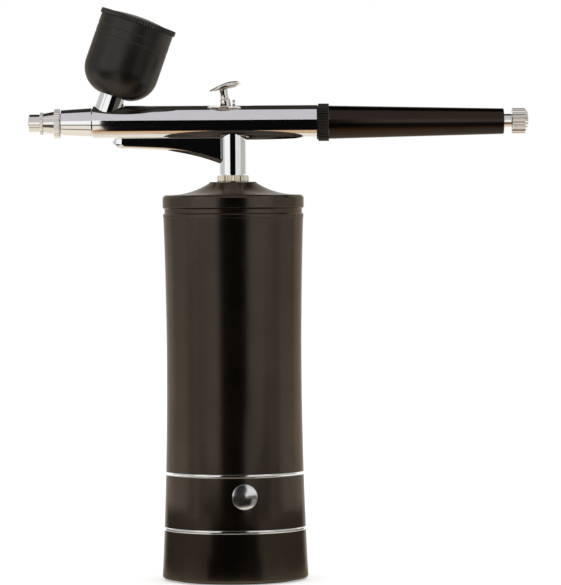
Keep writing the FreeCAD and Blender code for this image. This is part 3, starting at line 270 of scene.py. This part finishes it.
def lathe(name, outline, frame_matrix, body, nodes, material, ease, flutes=None):
    """Turn a closed outline of (radius, height) in millimetres into a smooth closed mesh.

    flutes is (count, depth, inner radius, low, high): straight grooves round that stretch.
    """
    points = eased(outline, ease)
    steps = STEPS
    if flutes:
        count, depth, inner, low, high = flutes
        steps = count * 10
    vertices, rings = [], []
    for radius, height in points:
        if radius < 1e-6:
            rings.append([len(vertices)] * steps)
            vertices.append(Vector((0, 0, height)))
            continue
        ring = []
        for step in range(steps):
            angle = 2 * math.pi * step / steps
            reach = radius
            if flutes and radius > inner and low <= height <= high:
                wave = 0.5 - 0.5 * math.cos(angle * count)
                reach -= depth * wave ** 1.6 * min((radius - inner) / depth, 1.0)
            ring.append(len(vertices))
            vertices.append(Vector((reach * math.cos(angle), reach * math.sin(angle), height)))
        rings.append(ring)
    faces = []
    for place, ring in enumerate(rings):
        other = rings[(place + 1) % len(rings)]
        for step in range(steps):
            after = (step + 1) % steps
            corners = []
            for index in (ring[step], ring[after], other[after], other[step]):
                if index not in corners:
                    corners.append(index)
            if len(corners) > 2:
                faces.append(corners)
    mesh = bpy.data.meshes.new(name)
    mesh.from_pydata([frame_matrix @ (vertex * MM) for vertex in vertices], [], faces)
    mesh.validate()
    return add_piece(name, mesh, body, nodes, material)


def add_piece(name, mesh, body, nodes, material):
    """Link a mesh as a piece that rides on a body in place of CAD nodes."""
    obj = bpy.data.objects.new(name, mesh)
    bpy.context.scene.collection.objects.link(obj)
    bpy.context.view_layer.objects.active = obj
    bpy.ops.object.select_all(action="DESELECT")
    obj.select_set(True)
    bpy.ops.object.mode_set(mode="EDIT")
    bpy.ops.mesh.select_all(action="SELECT")
    bpy.ops.mesh.normals_make_consistent(inside=False)
    bpy.ops.object.mode_set(mode="OBJECT")
    mesh.polygons.foreach_set("use_smooth", [True] * len(mesh.polygons))
    weighted = obj.modifiers.new("weighted", "WEIGHTED_NORMAL")
    weighted.keep_sharp = True
    dress(obj, material)
    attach(obj, body)
    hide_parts(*nodes)
    return obj


# Sizes and places in millimetres, as the CAD model has them.
BRUSH_Z = 152.4
TUBE_RADIUS, TUBE_FRONT, TUBE_REAR = 6.0, -46.5, 28.5
CUP_PLACE, CUP_TILT = 43.2, 19.5
BUTTON_TURN, BUTTON_Z = 8.5, 29.0
WAIST_RADIUS, WAIST_CURVE, WAIST_Z = 22.5, 1400.0, 73.0
BORE, LIP_OUTER, LIP_INNER = 21.1, 21.0, 19.8
LIP_SHORT, LIP_LONG = 1.2, 2.5
RINGS, RING_HEIGHT, RING_STAND, RING_BULGE = (16.8, 35.2), 1.1, 0.12, 1.2
SLEEVE_LOW, SLEEVE_TOP = 36.3, 120.8
CAP_EDGE, CAP_SLOPE = 1.3, 25.0
OUTLET_RADIUS, OUTLET_BORE = 7.85, 5.25
UPRIGHT = Matrix.Identity(4)
ALONG = Matrix.Translation((0, 0, BRUSH_Z * MM)) @ Matrix.Rotation(math.radians(90), 4, "Y")
CUP = Matrix.Translation((-CUP_PLACE * MM, 0, BRUSH_Z * MM)) @ Matrix.Rotation(math.radians(CUP_TILT), 4, "Y")
BUTTON = (Matrix.Rotation(math.radians(BUTTON_TURN), 4, "Z") @ Matrix.Translation((0, 0, BUTTON_Z * MM))
          @ Matrix.Rotation(math.radians(90), 4, "X"))


def waist(height):
    """Casing radius at a height: one long arc, narrowest at the waist."""
    return WAIST_RADIUS + WAIST_CURVE - math.sqrt(WAIST_CURVE ** 2 - (height - WAIST_Z) ** 2)


def waist_run(low, high, count=16):
    """Points up the casing's wall."""
    heights = [low + (high - low) * step / count for step in range(count + 1)]
    return [(waist(height), height) for height in heights]


def casing_pieces():
    """Sleeve, trim rings and top cap."""
    lathe("sleeve_skin", [(BORE, SLEEVE_LOW), *waist_run(SLEEVE_LOW, SLEEVE_TOP), (BORE, SLEEVE_TOP)],
          UPRIGHT, "casing", ["main_sleeve"], FINISH["black_casing"], 0.14)
    for name, low in zip(("lower_trim_ring", "upper_trim_ring"), RINGS):
        high = low + RING_HEIGHT
        first, last = (waist(low) + RING_STAND, low), (waist(high) + RING_STAND, high)
        lathe(name + "_skin",
              [(LIP_INNER, low - LIP_SHORT), (LIP_OUTER, low - LIP_SHORT), (LIP_OUTER, low), first,
               *arc(first, last, RING_BULGE, count=8), (LIP_OUTER, high), (LIP_OUTER, high + LIP_LONG),
               (LIP_INNER, high + LIP_LONG)],
              UPRIGHT, "casing", [name], FINISH["bright_trim"], 0.08)
    top = SLEEVE_TOP
    rim = waist(top) + RING_STAND
    groove, lip = rim - 0.5, rim + 0.12
    edge, shoulder = (lip, top + 6.3), (lip - CAP_EDGE, top + 7.6)
    outlet = top + 11.9
    ceiling = top + 4.8
    lathe("cap_skin",
          [(LIP_INNER, top - LIP_LONG), (LIP_OUTER, top - LIP_LONG), (LIP_OUTER, top), (rim, top),
           (rim, top + 1.1), (groove, top + 1.6), (groove, top + 2.9), (lip, top + 3.4), edge,
           *arc(edge, shoulder, CAP_EDGE),
           *arc(shoulder, (OUTLET_RADIUS, top + 11.6), CAP_SLOPE, right=True, count=30),
           (OUTLET_RADIUS, outlet), (OUTLET_BORE, outlet), (OUTLET_BORE, ceiling), (LIP_INNER, ceiling)],
          UPRIGHT, "casing", ["top_cap"], FINISH["black_casing"], 0.14)


def button_piece():
    """Domed power button, turned about its own axis, with its inner side towards the casing's middle."""
    radius, flange, inner, crown_y, rise = 4.2, 4.7, 19.4, 24.3, 0.9
    dome = (radius ** 2 + rise ** 2) / (2 * rise)
    rim, crown = (radius, crown_y - rise), (0.0, crown_y)
    lathe("button_skin",
          [(0.0, inner), (flange, inner), (flange, inner + 0.8), (radius, inner + 0.8), rim,
           *arc(rim, crown, dome, count=20)],
          BUTTON, "button", ["power_button"], FINISH["button_metal"], 0.16)


def brush_pieces():
    """Turned pieces on the airbrush's own line: caps, head, collar, handle and knob."""
    chrome, knurled = FINISH["brush_chrome"], FINISH["knurl_chrome"]
    head_front, head_back, needle_cap_back = -57.2, -47.0, -63.1
    paint_bore, spigot_end, seat_end = 1.2, TUBE_FRONT + 1.1, -54.0
    lathe("head_skin",
          [(3.4, head_front), (4.72, head_front), (5.4, head_back), (5.2, head_back), (5.2, TUBE_FRONT),
           (4.0, TUBE_FRONT), (4.0, spigot_end), (paint_bore, spigot_end), (paint_bore, seat_end),
           (3.4, seat_end)],
          ALONG, "airbrush", ["spray_head"], chrome, 0.16)
    grip_low, grip_high, thread_end = -59.4, -57.4, -56.2
    lathe("nozzle_cap_skin",
          [(1.7, needle_cap_back), (3.6, needle_cap_back), (4.3, grip_low), (4.9, grip_low),
           (4.9, grip_high), (3.3, grip_high), (3.3, thread_end), (2.7, thread_end), (2.7, -61.3),
           (1.7, -62.4)],
          ALONG, "airbrush", ["nozzle_cap"], knurled, 0.12, (34, 0.22, 4.45, grip_low - 0.1, grip_high + 0.1))
    crown, crown_grip = -68.0, -64.2
    lathe("needle_cap_skin",
          [(2.3, crown), (3.0, crown), (3.3, crown + 0.3), (3.3, crown_grip), (3.8, crown_grip),
           (3.8, needle_cap_back), (1.7, needle_cap_back), (1.7, -64.4), (2.3, -65.4)],
          ALONG, "airbrush", ["needle_cap"], knurled, 0.12,
          (26, 0.22, 3.4, crown_grip - 0.1, needle_cap_back + 0.1))
    collar_end, collar_bore, collar_radius = TUBE_REAR + 3.6, 5.0, 6.25
    lathe("collar_skin",
          [(collar_bore, TUBE_REAR), (collar_radius, TUBE_REAR), (collar_radius, collar_end),
           (collar_bore, collar_end)],
          ALONG, "airbrush", ["handle_collar"], FINISH["collar_black"], 0.2,
          (39, 0.32, 5.6, TUBE_REAR - 0.1, collar_end + 0.1))
    handle_start, handle_end, stub_bore, case_bore = 32.14, 90.4, 4.6, 3.6
    stop_bore, needle_bore = 2.55, 1.5
    lathe("handle_skin",
          [(stub_bore, handle_start), (5.45, handle_start), (5.55, 32.3), (4.27, 90.15), (4.1, handle_end),
           (stop_bore, handle_end), (stop_bore, 82.0), (needle_bore, 82.0), (needle_bore, 69.5),
           (case_bore, 69.5), (case_bore, 40.5), (stub_bore, 40.5), (stub_bore, 36.0), (collar_bore, 36.0)],
          ALONG, "airbrush", ["handle"], FINISH["handle_black"], 0.3)
    stem, groove, knob_radius, knob_start, knob_end = 2.5, 1.9, 4.3, 93.0, 98.4
    lathe("knob_skin",
          [(0, 78.5), (1.2, 78.5), (1.2, 84.5), (stem, 84.5), (stem, 86.0), (groove, 86.0), (groove, 87.0),
           (stem, 87.0), (stem, knob_start), (knob_radius - 0.3, knob_start), (knob_radius, knob_start + 0.3),
           (knob_radius, knob_end - 1.0), (3.4, knob_end), (0, knob_end)],
          ALONG, "stop", ["stop_knob"], knurled, 0.15, (20, 0.38, 3.3, knob_start - 0.1, knob_end - 0.1))


def cup_pieces():
    """Paint cup and lid on their tilted line."""
    radius, bowl, wall, bore, foot, foot_radius = 12.5, 9.23, 0.9, 3.6, 9.7, 4.7
    centre = radius - bowl
    side = foot + math.sqrt(bowl ** 2 - (foot_radius - centre) ** 2)
    inner = bowl - wall
    low = side - math.sqrt(inner ** 2 - (bore - centre) ** 2)
    top = side + 16.1
    groove = radius - 0.15
    grooves = []
    for down in (6.6, 3.8):
        grooves += [(radius, top - down), (groove, top - down + 0.15), (groove, top - down + 0.25),
                    (radius, top - down + 0.4)]
    lathe("cup_skin",
          [(bore, foot), (foot_radius, foot), *arc((foot_radius, foot), (radius, side), bowl, count=30),
           *grooves, (radius, top), (radius - wall, top), (radius - wall, side),
           *arc((radius - wall, side), (bore, low), inner, right=True, count=24)],
          CUP, "airbrush", ["paint_cup"], FINISH["cup_black"], 0.08)
    rest = top + 0.1
    rim = rest + 1.6
    lid_radius, dome_radius, dome_rise, lip_inner, lip_outer, lip = 13.0, 10.0, 1.0, 10.3, 11.3, 2.6
    dome = (dome_radius ** 2 + dome_rise ** 2) / (2 * dome_rise)
    lathe("lid_skin",
          [(0, rest + 0.5), (lip_inner, rest + 0.5), (lip_inner, rest - lip), (lip_outer, rest - lip),
           (lip_outer, rest), (lid_radius, rest), (lid_radius, rim), (dome_radius, rim),
           *arc((dome_radius, rim), (0.0, rim + dome_rise), dome, count=16)],
          CUP, "lid", ["cup_lid"], FINISH["lid_black"], 0.14, (80, 0.27, 12.5, rest - 0.1, rim + 0.1))


def outlet_pieces():
    """Knurled lock ring round the outlet."""
    low = SLEEVE_TOP + 12.0
    high = low + 2.1
    bore, radius, chamfer = 4.0, 5.3, 0.2
    lathe("lock_skin",
          [(bore, low), (radius - chamfer, low), (radius, low + chamfer), (radius, high - chamfer),
           (radius - chamfer, high), (bore, high)],
          UPRIGHT, "lock", ["lock_ring"], FINISH["lock_nickel"], 0.12, (26, 0.28, 4.8, low - 0.1, high + 0.1))


def sweep(name, rings, frame_matrix, body, nodes, material):
    """Join rings of points into one closed mesh, with a cap at each end."""
    size = len(rings[0])
    vertices = [frame_matrix @ (Vector(point) * MM) for ring in rings for point in ring]
    faces = [tuple(reversed(range(size))), tuple(range((len(rings) - 1) * size, len(rings) * size))]
    for row in range(len(rings) - 1):
        for step in range(size):
            after = (step + 1) % size
            faces.append((row * size + step, row * size + after, (row + 1) * size + after,
                          (row + 1) * size + step))
    mesh = bpy.data.meshes.new(name)
    mesh.from_pydata(vertices, [], faces)
    mesh.validate()
    return add_piece(name, mesh, body, nodes, material)


def brace_piece():
    """Finger brace: a fin with a full rounded lower edge and a round nose, let into tube and valve."""
    nose, flat, tail, half = -40.2, -24.0, -3.4, 3.3
    low = BRUSH_Z - 9.4
    buried, nose_lift, nose_slope = 0.15, 1.2, 0.7
    round_y, round_z, round_steps, nose_steps = 2.5, 1.9, 10, 14
    curve = arc((flat, low), (-3.0, low - 4.8), 65.0, right=True, count=40)
    tip = nose + 0.02
    stations = [tip + (nose + half - tip) * (1 - math.cos(math.pi / 2 * step / nose_steps))
                for step in range(nose_steps + 1)]
    stations += [nose + half + (flat - nose - half) * step / 12 for step in range(1, 13)]
    stations += [x for x, _ in curve if x < tail]
    heights = dict(curve)
    rings = []
    for x in stations:
        inset = max(nose + half - x, 0.0)
        width = math.sqrt(max(half * half - inset * inset, 0.0004))
        rise = nose_lift * (1 - math.sqrt(max(1 - (inset / half) ** 4, 0.0)))
        bottom = heights.get(x, low + nose_slope * (flat - x) / (flat - nose)) + rise
        reach = min(round_y, width)
        lower_edge = []
        for step in range(round_steps + 1):
            angle = math.pi / 2 * step / round_steps
            lower_edge.append((width - reach + reach * math.cos(angle),
                               bottom + round_z - round_z * math.sin(angle)))
        top = BRUSH_Z - math.sqrt(TUBE_RADIUS ** 2 - width * width) + buried
        outline = [(width, top), (width, top - 0.25), (width, bottom + round_z + 0.3), *lower_edge]
        rings.append([(x, y, z) for y, z in outline] + [(x, -y, z) for y, z in reversed(outline)])
    sweep("brace_skin", rings, UPRIGHT, "airbrush", ["finger_brace"], FINISH["brush_chrome"])


def merge(name, parts, body, nodes, material):
    """Join closed meshes of (vertices, faces) into one piece."""
    vertices, faces = [], []
    for points, sides in parts:
        base = len(vertices)
        vertices += points
        faces += [tuple(base + index for index in side) for side in sides]
    mesh = bpy.data.meshes.new(name)
    mesh.from_pydata(vertices, [], faces)
    mesh.validate()
    return add_piece(name, mesh, body, nodes, material)


def spun(outline, steps, matrix, bend=None):
    """Vertices and faces of a turned solid.

    The outline is a (radius, height) line that starts and ends on the axis.
    """
    points, rings = [], []
    for radius, height in outline:
        if radius < 1e-6:
            rings.append([len(points)] * steps)
            points.append(Vector((0, 0, height)))
            continue
        ring = []
        for step in range(steps):
            angle = 2 * math.pi * step / steps
            ring.append(len(points))
            points.append(Vector((radius * math.cos(angle), radius * math.sin(angle), height)))
        rings.append(ring)
    faces = []
    for lower, upper in zip(rings, rings[1:]):
        for step in range(steps):
            after = (step + 1) % steps
            corners = []
            for index in (lower[step], lower[after], upper[after], upper[step]):
                if index not in corners:
                    corners.append(index)
            if len(corners) > 2:
                faces.append(tuple(corners))
    if bend:
        points = [bend(point) for point in points]
    return [matrix @ (point * MM) for point in points], faces


def block(low, high, matrix):
    """Vertices and faces of a box."""
    points = [Vector((x, y, z)) for z in (low[2], high[2]) for y in (low[1], high[1])
              for x in (low[0], high[0])]
    faces = [(0, 2, 3, 1), (4, 5, 7, 6), (0, 1, 5, 4), (2, 6, 7, 3), (0, 4, 6, 2), (1, 3, 7, 5)]
    return [matrix @ (point * MM) for point in points], faces


def trigger_piece():
    """Trigger: ball foot, leg, forked blade round the needle, collar, neck and a lens-shaped finger pad."""
    pivot_drop, lean = 7.5, 9.5
    pad_low, pad_thickness, pad_offset, pad_thin = 18.6, 2.5, 0.4, 1.72
    leg, fork_low, fork_top = 1.1, 5.6, 13.1
    fork_half, fork_side, slot_half, slot_low, slot_top = 0.7, 1.7, 0.75, 6.3, 10.9
    collar_top, neck_top = 15.75, 18.9
    matrix = (Matrix.Translation((0, 0, (BRUSH_Z - pivot_drop) * MM))
              @ Matrix.Rotation(math.radians(-lean), 4, "Y"))

    def shape_pad(point):
        """Slope the pad's upper side down to its front."""
        x, y, z = point
        share = min(max((1.8 - x) / 7.2, 0.0), 1.0)
        top = pad_thickness - pad_thin * share ** 1.15
        return Vector((x + pad_offset, y, pad_low + z * top / pad_thickness))

    foot = [(0.0, -1.0)]
    foot += [(math.sin(angle), -math.cos(angle))
             for angle in (math.radians(5 + 12.2 * step) for step in range(12))]
    foot += [(0.5, 1.25), (leg, 1.7), (leg, 5.9), (0.0, 5.9)]
    collar = [(0.0, 12.9), (1.55, 12.9), (1.76, 13.05), (1.82, 13.3), (1.82, 15.3), (1.74, 15.6),
              (1.5, collar_top), (0.0, collar_top)]
    neck = [(0.0, 15.5), (1.5, 15.5), (1.42, 15.8), (1.4, 16.6), (1.42, 17.6), (1.55, 18.3),
            (1.55, neck_top), (0.0, neck_top)]
    pad = [(0.0, 0.0), (3.6, 0.0), (4.9, 0.14), (5.45, 0.42), (5.72, 0.85), (5.8, 1.3), (5.72, 1.75),
           (5.45, 2.15), (4.9, 2.4), (3.6, 2.5), (0.0, 2.55)]
    parts = [spun(foot, 48, matrix), spun(collar, 64, matrix), spun(neck, 64, matrix),
             spun(pad, 96, matrix, bend=shape_pad),
             block((-fork_half, -fork_side, slot_top), (fork_half, fork_side, fork_top), matrix),
             block((-fork_half, -fork_side, fork_low), (fork_half, fork_side, slot_low), matrix)]
    for side in (-1, 1):
        low, high = sorted((side * slot_half, side * fork_side))
        parts.append(block((-fork_half, low, slot_low - 0.1), (fork_half, high, slot_top + 0.1), matrix))
    obj = merge("trigger_skin", parts, "trigger", ["trigger"], FINISH["trigger_chrome"])
    bevel = obj.modifiers.new("bevel", "BEVEL")
    bevel.width, bevel.segments = 0.00012, 3
    bevel.limit_method, bevel.angle_limit = "ANGLE", math.radians(50)
    obj.modifiers.move(1, 0)


brace_piece()
trigger_piece()
casing_pieces()
button_piece()
brush_pieces()
cup_pieces()
outlet_pieces()


# ---------------------------------------------------------------- studio

TONES = {
    "black": (0.003, 0.003, 0.003), "lilac": (0.60, 0.585, 0.62), "tan": (0.66, 0.44, 0.26),
    "shade": (0.09, 0.08, 0.07), "cream": (0.78, 0.81, 0.78), "flag_left": (0.58, 0.58, 0.58),
    "flag_right": (0.50, 0.50, 0.48), "base_grey": (0.25, 0.23, 0.21), "dark_top": (0.030, 0.027, 0.024),
    "rust": (0.46, 0.25, 0.11), "sand": (0.86, 0.80, 0.70),
}
DARK_HALF, DARK_AWAY, DARK_TOP = 0.049, 0.122, 0.192
TABLE, UNDER_TABLE = 0.001, 0.0005


def emitter(name, colour):
    """Material that gives light of its own."""
    material = bpy.data.materials.new(name)
    material.use_nodes = True
    tree = material.node_tree
    tree.nodes.clear()
    glow = tree.nodes.new("ShaderNodeEmission")
    glow.inputs["Color"].default_value = (*colour, 1)
    glow.inputs["Strength"].default_value = 1.0
    out = tree.nodes.new("ShaderNodeOutputMaterial")
    tree.links.new(glow.outputs["Emission"], out.inputs["Surface"])
    return material


def card(name, corners, material, seen=False):
    """Flat studio card through four corners, which only reflections show unless it is seen."""
    mesh = bpy.data.meshes.new(name)
    mesh.from_pydata(corners, [], [(0, 1, 2, 3)])
    obj = bpy.data.objects.new(name, mesh)
    bpy.context.scene.collection.objects.link(obj)
    dress(obj, material)
    obj.visible_camera = seen
    obj.visible_shadow = False
    obj.visible_diffuse = False


def stand(name, start, end, low, high, material):
    """Upright card from one place in plan to another."""
    (x0, y0), (x1, y1) = start, end
    card(name, [(x0, y0, low), (x1, y1, low), (x1, y1, high), (x0, y0, high)], material)


def lay(name, left, right, far, near, height, material, seen=False):
    """Level card."""
    corners = [(left, far, height), (right, far, height), (right, near, height), (left, near, height)]
    card(name, corners, material, seen)


def tent():
    """Even white light from all round."""
    world = bpy.data.worlds.new("tent")
    world.use_nodes = True
    background = world.node_tree.nodes["Background"]
    background.inputs["Color"].default_value = (1, 1, 1, 1)
    background.inputs["Strength"].default_value = 1.0
    bpy.context.scene.world = world
    bpy.context.scene.view_settings.view_transform = "Standard"


def table_cards(tones):
    """Table top in front, as the underside of the plating shows it: sand, tan, rust, then dark."""
    for name, left, right, far, near, tone in (
            ("table_sand", -0.22, 0.12, -0.062, 0.03, "sand"),
            ("table_pale", -0.22, -0.055, -0.6, -0.062, "sand"),
            ("table_tan", -0.055, 0.12, -0.145, -0.062, "tan"),
            ("table_rust", -0.055, 0.12, -0.195, -0.145, "rust"),
            ("table_far", -DARK_HALF, DARK_HALF, -0.5, -0.195, "black")):
        lay(name, left, right, far, near, TABLE, tones[tone])


def side_cards(tones):
    """Dim table, a low skirt and a tall flag on each side."""
    end_x, end_y, near_top, far_top, flag_top, flag_end = 0.8, -0.45, 0.032, 0.085, 1.2, 124
    for side, tone, flag_start in ((-1, "flag_left", 70), (1, "flag_right", 66)):
        lay("table_side", side * DARK_HALF, side * 1.6, -1.2, -0.06, UNDER_TABLE, tones["shade"])
        card("skirt", [(side * DARK_HALF, -DARK_AWAY, 0.0), (side * end_x, end_y, 0.0),
                       (side * end_x, end_y, far_top), (side * DARK_HALF, -DARK_AWAY, near_top)],
             tones["shade"])
        start, end = ((side * math.sin(turn), -math.cos(turn))
                      for turn in (math.radians(flag_start), math.radians(flag_end)))
        stand("side_flag", start, end, 0.0, flag_top, tones[tone])


def base_cards(tones):
    """Low cards close to the base, which dim its highlights."""
    grey_top = 0.022
    stand("base_dark", (-0.02, -0.034), (0.02, -0.034), 0.0, 0.009, tones["black"])
    stand("button_dark", (-0.03, -0.05), (0.03, -0.05), 0.0, 0.024, tones["black"])
    for side in (-1, 1):
        back, corner, front = (side * 0.056, 0.05), (side * 0.056, -0.03), (side * 0.03, -0.05)
        stand("base_shade", back, corner, 0.0, grey_top, tones["base_grey"])
        stand("base_shade", corner, front, 0.0, grey_top, tones["base_grey"])


def front_cards(tones):
    """The dark camera side, with the pale canopy above it and the dark one behind."""
    stand("side_cream", (0.40, -0.92), (0.92, -0.40), 0.0, 1.2, tones["cream"])
    step = 0.055
    for low, high, right in ((0.0, step, 0.036), (step, DARK_TOP, DARK_HALF)):
        stand("front_dark", (-DARK_HALF, -DARK_AWAY), (right, -DARK_AWAY), low, high, tones["black"])
    half = 0.45
    profile = ((-0.35, 0.275), (-0.35, 0.80), (0.02, 0.86), (0.75, 0.70))
    names = ("front_lilac", "overhead_lilac", "overhead_back")
    for name, (y0, z0), (y1, z1), tone in zip(names, profile, profile[1:], ("lilac", "lilac", "dark_top")):
        card(name, [(-half, y0, z0), (half, y0, z0), (half, y1, z1), (-half, y1, z1)], tones[tone])


def studio():
    """White tent with cards, placed as the reflections in the plating show."""
    tent()
    tones = {name: emitter("card_" + name, colour) for name, colour in TONES.items()}
    table_cards(tones)
    side_cards(tones)
    base_cards(tones)
    front_cards(tones)
    floor = Shader("floor_white", Roughness=0.9, Emission_Color=(1, 1, 1, 1), Emission_Strength=0.42)
    floor.base.inputs["Base Color"].default_value = (0.72, 0.72, 0.72, 1)
    lay("floor", -3, 3, -1.2, 3.0, 0.0, floor.material, True)


def camera():
    """Long lens a little above the middle, with the slight roll the photograph has."""
    lens, sensor = 252.0, 36.0
    target, distance = Vector((0.0156, 0.0, 0.0957)), 1.367
    pitch, roll = math.radians(1.32), math.radians(-0.37)
    data = bpy.data.cameras.new("camera")
    data.lens, data.sensor_width = lens, sensor
    data.clip_start, data.clip_end = 0.05, 20.0
    data.dof.use_dof = False
    obj = bpy.data.objects.new("camera", data)
    bpy.context.scene.collection.objects.link(obj)
    away = Vector((0.0, -math.cos(pitch), math.sin(pitch)))
    look = away.to_track_quat("Z", "Y").to_matrix().to_4x4()
    obj.matrix_world = Matrix.Translation(target + away * distance) @ look @ Matrix.Rotation(roll, 4, "Z")
    bpy.context.scene.camera = obj


studio()
camera()
